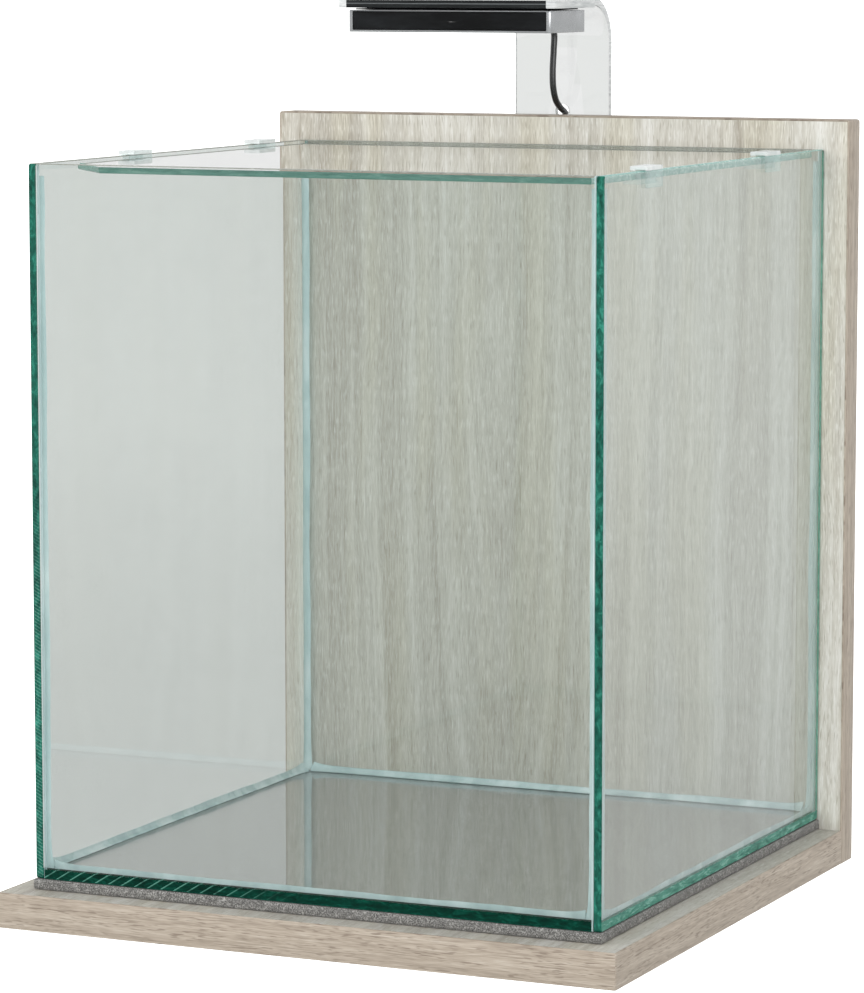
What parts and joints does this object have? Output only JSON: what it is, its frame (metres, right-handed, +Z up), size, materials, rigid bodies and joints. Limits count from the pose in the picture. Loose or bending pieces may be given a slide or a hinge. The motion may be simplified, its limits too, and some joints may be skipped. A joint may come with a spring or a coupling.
{
  "type": "aquarium on stand",
  "caption": "Open glass cube aquarium with a lift-off cover glass on an L-shaped laminate stand, lit by a slim lamp on a clear bent arm.",
  "frame": {"origin": "on the standing surface under the feet, midway between the sides and midway between the front of the base board and the rearmost screw heads, leaving out the cord", "axes": "+Z up, +Y towards the back panel, +X to the right as seen from the front"},
  "size_m": [0.3266, 0.3942, 0.4535],
  "materials": {
    "laminate": "matt printed oak laminate with a fine vertical grain",
    "edge_band": "satin printed edge banding",
    "foam": "grey speckled closed-cell foam",
    "felt": "black felt pad",
    "steel": "zinc plated",
    "dowel": "plain beech",
    "pane_glass": "polished float glass with green cut edges",
    "cover_glass": "polished float glass with ground teal edges",
    "silicone": "clear sealant, slightly milky",
    "clip_plastic": "clear moulded plastic",
    "acrylic": "clear bent acrylic sheet",
    "nylon": "white nylon",
    "lamp_silver": "silver, semi-gloss",
    "lamp_black": "black, high gloss",
    "tape": "black double-sided foam tape",
    "lens": "frosted clear plastic",
    "circuit_board": "white solder mask with yellow-white LEDs",
    "black_rubber": "moulded black rubber",
    "cord_sheath": "black PVC sheath",
    "strap": "grey hook and loop strap",
    "supply_shell": "fine textured black plastic",
    "pin_metal": "nickel plated"
  },
  "bodies": {
    "stand": {"arm_screw_left": "steel", "arm_screw_right": "steel", "arm_washer_left": "nylon", "arm_washer_right": "nylon", "back_panel": "laminate", "base_board": "laminate", "base_edge_front": "edge_band", "base_edge_left": "edge_band", "base_edge_right": "edge_band", "board_screw_left": "steel", "board_screw_right": "steel", "coil_tie": "strap", "cord_coil": "cord_sheath", "cord_gland": "black_rubber", "cord_run": "cord_sheath", "cord_tail": "cord_sheath", "foam_mat": "foam", "foot_front_left": "felt", "foot_front_right": "felt", "foot_rear_left": "felt", "foot_rear_right": "felt", "lamp_arm": "acrylic", "lamp_front_panel": "lamp_black", "lamp_housing": "lamp_silver", "lamp_lens": "lens", "lamp_tape": "tape", "led_board": "circuit_board", "panel_edge_left": "edge_band", "panel_edge_right": "edge_band", "panel_edge_top": "edge_band", "stand_dowel_left": "dowel", "stand_dowel_right": "dowel", "stand_screw_1": "steel", "stand_screw_2": "steel", "stand_screw_3": "steel", "supply_body": "supply_shell", "supply_pin_front": "pin_metal", "supply_pin_rear": "pin_metal", "supply_relief": "black_rubber"},
    "tank": {"bottom_pane": "pane_glass", "cover_clip_left_front": "clip_plastic", "cover_clip_left_rear": "clip_plastic", "cover_clip_right_front": "clip_plastic", "cover_clip_right_rear": "clip_plastic", "front_pane": "pane_glass", "left_pane": "pane_glass", "rear_pane": "pane_glass", "right_pane": "pane_glass", "silicone_bottom_front": "silicone", "silicone_bottom_left": "silicone", "silicone_bottom_rear": "silicone", "silicone_bottom_right": "silicone", "silicone_front_left": "silicone", "silicone_front_right": "silicone", "silicone_rear_left": "silicone", "silicone_rear_right": "silicone"},
    "cover": {"cover_glass": "cover_glass"}
  },
  "joints": [
    {"name": "tank_slide", "type": "slide", "parent": "stand", "child": "tank", "axis": [0, -1, 0], "range_m": [0, 0.3]},
    {"name": "cover_lift", "type": "slide", "parent": "tank", "child": "cover", "axis": [0, 0, 1], "range_m": [0, 0.05]}
  ]
}
